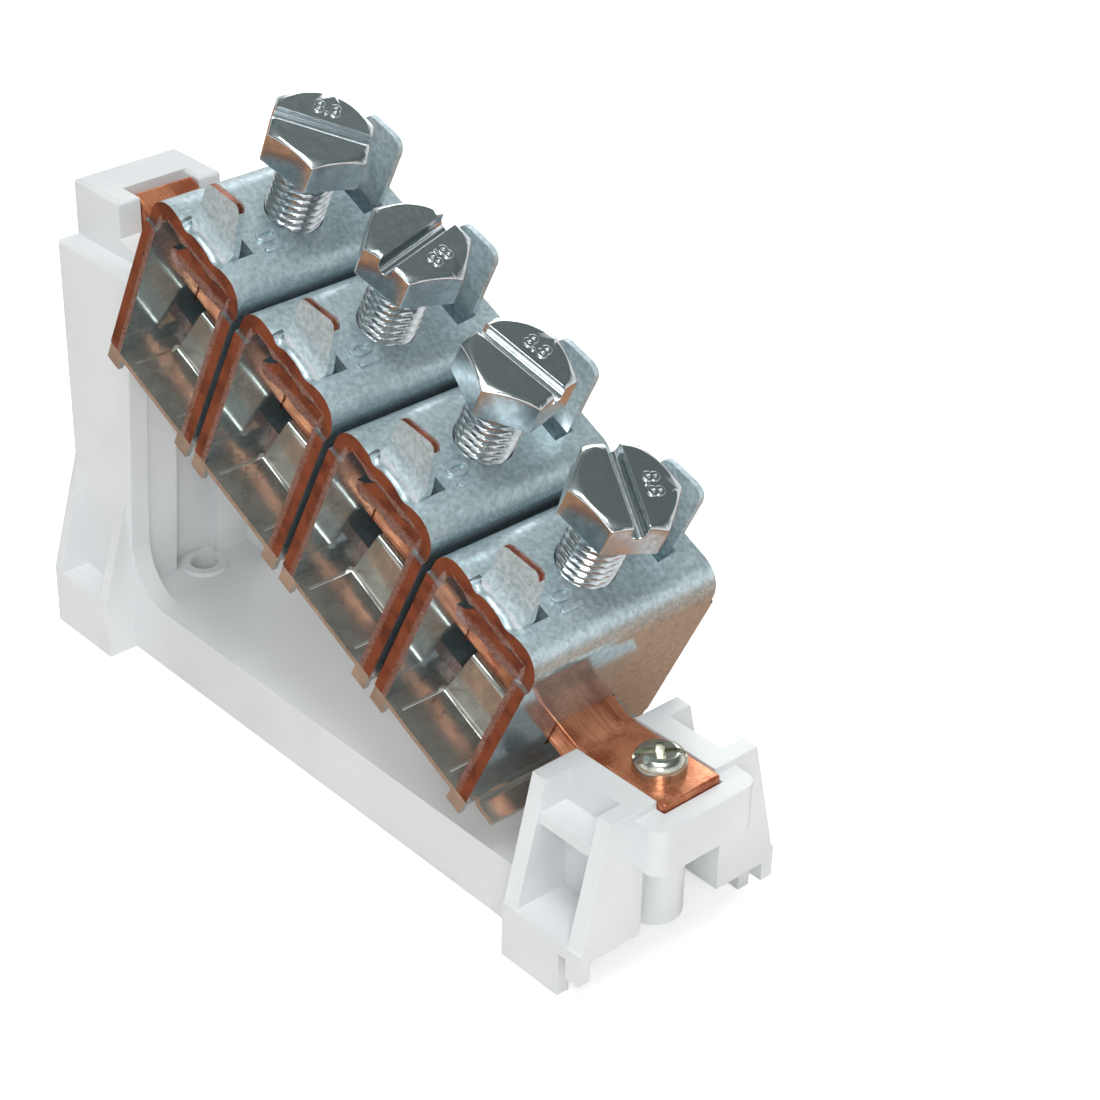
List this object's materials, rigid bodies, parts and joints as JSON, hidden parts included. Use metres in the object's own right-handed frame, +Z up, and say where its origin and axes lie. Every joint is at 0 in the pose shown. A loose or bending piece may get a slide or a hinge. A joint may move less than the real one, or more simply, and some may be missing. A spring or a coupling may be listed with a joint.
{
  "type": "terminal block",
  "caption": "Stepped distribution terminal block: moulded carrier with a sloping copper bar and hanging cage clamps tightened by slotted hex bolts",
  "frame": {"origin": "centre of the feet's outline, on the mounting surface", "axes": "X from the tall post to the low post, Y along the wires, Z up off the mounting surface"},
  "size_m": [0.1474, 0.042, 0.1145],
  "materials": {
    "carrier_plastic": "satin moulded",
    "copper": "drawn, lightly oxidised",
    "zinc_steel": "zinc plated",
    "bolt_steel": "bright zinc plated",
    "cage_steel": "zinc plated sheet",
    "guard_steel": "bright zinc plated sheet"
  },
  "bodies": {
    "block": {"carrier": "carrier_plastic", "busbar": "copper", "busbar_screw": "zinc_steel", "cage_1": "cage_steel", "cage_2": "cage_steel", "cage_3": "cage_steel", "cage_4": "cage_steel", "guard_plate_1": "guard_steel", "guard_plate_2": "guard_steel", "guard_plate_3": "guard_steel", "guard_plate_4": "guard_steel"},
    "pad_1": {"pressure_pad_1": "bolt_steel"},
    "bolt_1": {"clamp_bolt_1": "bolt_steel"},
    "pad_2": {"pressure_pad_2": "bolt_steel"},
    "bolt_2": {"clamp_bolt_2": "bolt_steel"},
    "pad_3": {"pressure_pad_3": "bolt_steel"},
    "bolt_3": {"clamp_bolt_3": "bolt_steel"},
    "pad_4": {"pressure_pad_4": "bolt_steel"},
    "bolt_4": {"clamp_bolt_4": "bolt_steel"}
  },
  "joints": [
    {"name": "pad_slide_1", "type": "slide", "parent": "block", "child": "pad_1", "axis": [-0.4289, 0, -0.9033], "range_m": [-0.006, 0.0078]},
    {"name": "bolt_turn_1", "type": "hinge", "parent": "pad_1", "child": "bolt_1", "pos_m": [-0.03082, 0, 0.08169], "axis": [-0.4289, 0, -0.9033], "range_deg": [-1441, 1873]},
    {"name": "pad_slide_2", "type": "slide", "parent": "block", "child": "pad_2", "axis": [-0.4289, 0, -0.9033], "range_m": [-0.006, 0.0078]},
    {"name": "bolt_turn_2", "type": "hinge", "parent": "pad_2", "child": "bolt_2", "pos_m": [-0.00742, 0, 0.07058], "axis": [-0.4289, 0, -0.9033], "range_deg": [-1441, 1873]},
    {"name": "pad_slide_3", "type": "slide", "parent": "block", "child": "pad_3", "axis": [-0.4289, 0, -0.9033], "range_m": [-0.006, 0.0078]},
    {"name": "bolt_turn_3", "type": "hinge", "parent": "pad_3", "child": "bolt_3", "pos_m": [0.01597, 0, 0.05947], "axis": [-0.4289, 0, -0.9033], "range_deg": [-1441, 1873]},
    {"name": "pad_slide_4", "type": "slide", "parent": "block", "child": "pad_4", "axis": [-0.4289, 0, -0.9033], "range_m": [-0.006, 0.0078]},
    {"name": "bolt_turn_4", "type": "hinge", "parent": "pad_4", "child": "bolt_4", "pos_m": [0.03937, 0, 0.04836], "axis": [-0.4289, 0, -0.9033], "range_deg": [-1441, 1873]}
  ],
  "couplings": [
    {"joint": "bolt_turn_1", "follows": "pad_slide_1", "rad_per_m": 4188.8},
    {"joint": "bolt_turn_2", "follows": "pad_slide_2", "rad_per_m": 4188.8},
    {"joint": "bolt_turn_3", "follows": "pad_slide_3", "rad_per_m": 4188.8},
    {"joint": "bolt_turn_4", "follows": "pad_slide_4", "rad_per_m": 4188.8}
  ]
}
